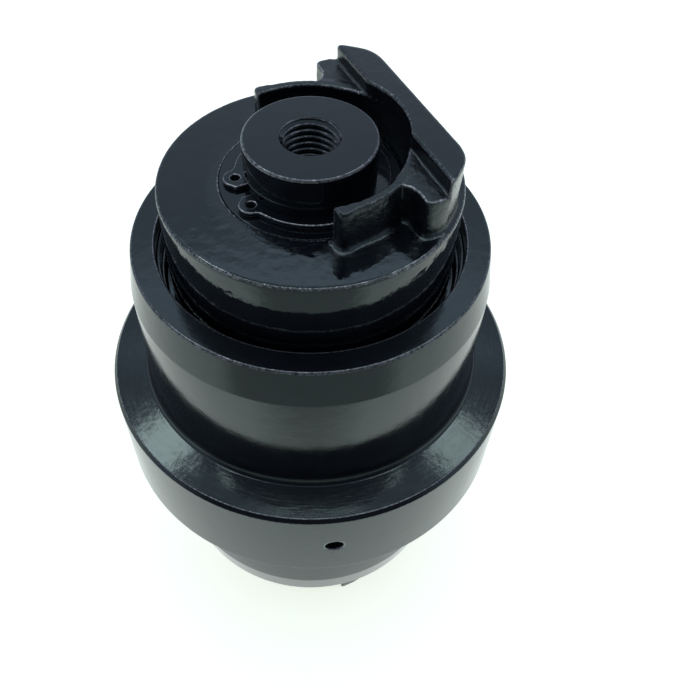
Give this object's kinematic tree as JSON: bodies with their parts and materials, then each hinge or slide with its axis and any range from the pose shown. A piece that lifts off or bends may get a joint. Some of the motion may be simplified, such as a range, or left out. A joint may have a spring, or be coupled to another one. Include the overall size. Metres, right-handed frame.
{
  "type": "track roller",
  "caption": "Centre-flanged track roller on a fixed shaft with tapped ends, sealed bushes, and two circlip-held end collars with a raised locating bar.",
  "frame": {"origin": "centre of the roller, on the shaft's axis, half way between the shaft's two end faces", "axes": "+Z along the shaft's axis out of its upper tapped end, +X along the outward normal of the upper collar's bar flat, +Y completes a right-handed frame"},
  "size_m": [0.1658, 0.1658, 0.2618],
  "materials": {
    "roller_paint": "gloss blue-black paint over a forged and machined steel roller",
    "collar_paint": "gloss blue-black paint over a cast steel collar, rough where the casting was not machined",
    "shaft_paint": "gloss blue-black paint over a turned steel shaft, bare grey in the tapped holes",
    "clip_steel": "gloss blue-black paint over spring steel",
    "plug_steel": "gloss blue-black paint over a steel socket plug",
    "bush_bronze": "machined bearing bronze, oiled",
    "seal_iron": "hard cast iron with a lapped bright face",
    "seal_rubber": "matt black nitrile rubber"
  },
  "bodies": {
    "axle": {"shaft": "shaft_paint", "circlip_upper": "clip_steel", "circlip_lower": "clip_steel"},
    "roller": {"roller_shell": "roller_paint", "fill_plug": "plug_steel", "bush_upper": "bush_bronze", "bush_lower": "bush_bronze", "roller_seal_ring_upper": "seal_iron", "roller_seal_ring_lower": "seal_iron", "roller_toric_upper": "seal_rubber", "roller_toric_lower": "seal_rubber"},
    "upper_collar_set": {"collar_upper": "collar_paint", "collar_washer_upper": "collar_paint", "shaft_seal_upper": "seal_rubber", "collar_seal_ring_upper": "seal_iron", "collar_toric_upper": "seal_rubber"},
    "lower_collar_set": {"collar_lower": "collar_paint", "collar_washer_lower": "collar_paint", "shaft_seal_lower": "seal_rubber", "collar_seal_ring_lower": "seal_iron", "collar_toric_lower": "seal_rubber"}
  },
  "joints": [
    {"name": "roller_spin", "type": "hinge", "parent": "axle", "child": "roller", "pos_m": [0, 0, 0], "axis": [0, 0, 1], "continuous": true},
    {"name": "upper_collar_turn", "type": "hinge", "parent": "axle", "child": "upper_collar_set", "pos_m": [0, 0, 0.11], "axis": [0, 0, 1], "continuous": true},
    {"name": "lower_collar_turn", "type": "hinge", "parent": "axle", "child": "lower_collar_set", "pos_m": [0, 0, -0.11], "axis": [0, 0, 1], "continuous": true}
  ]
}
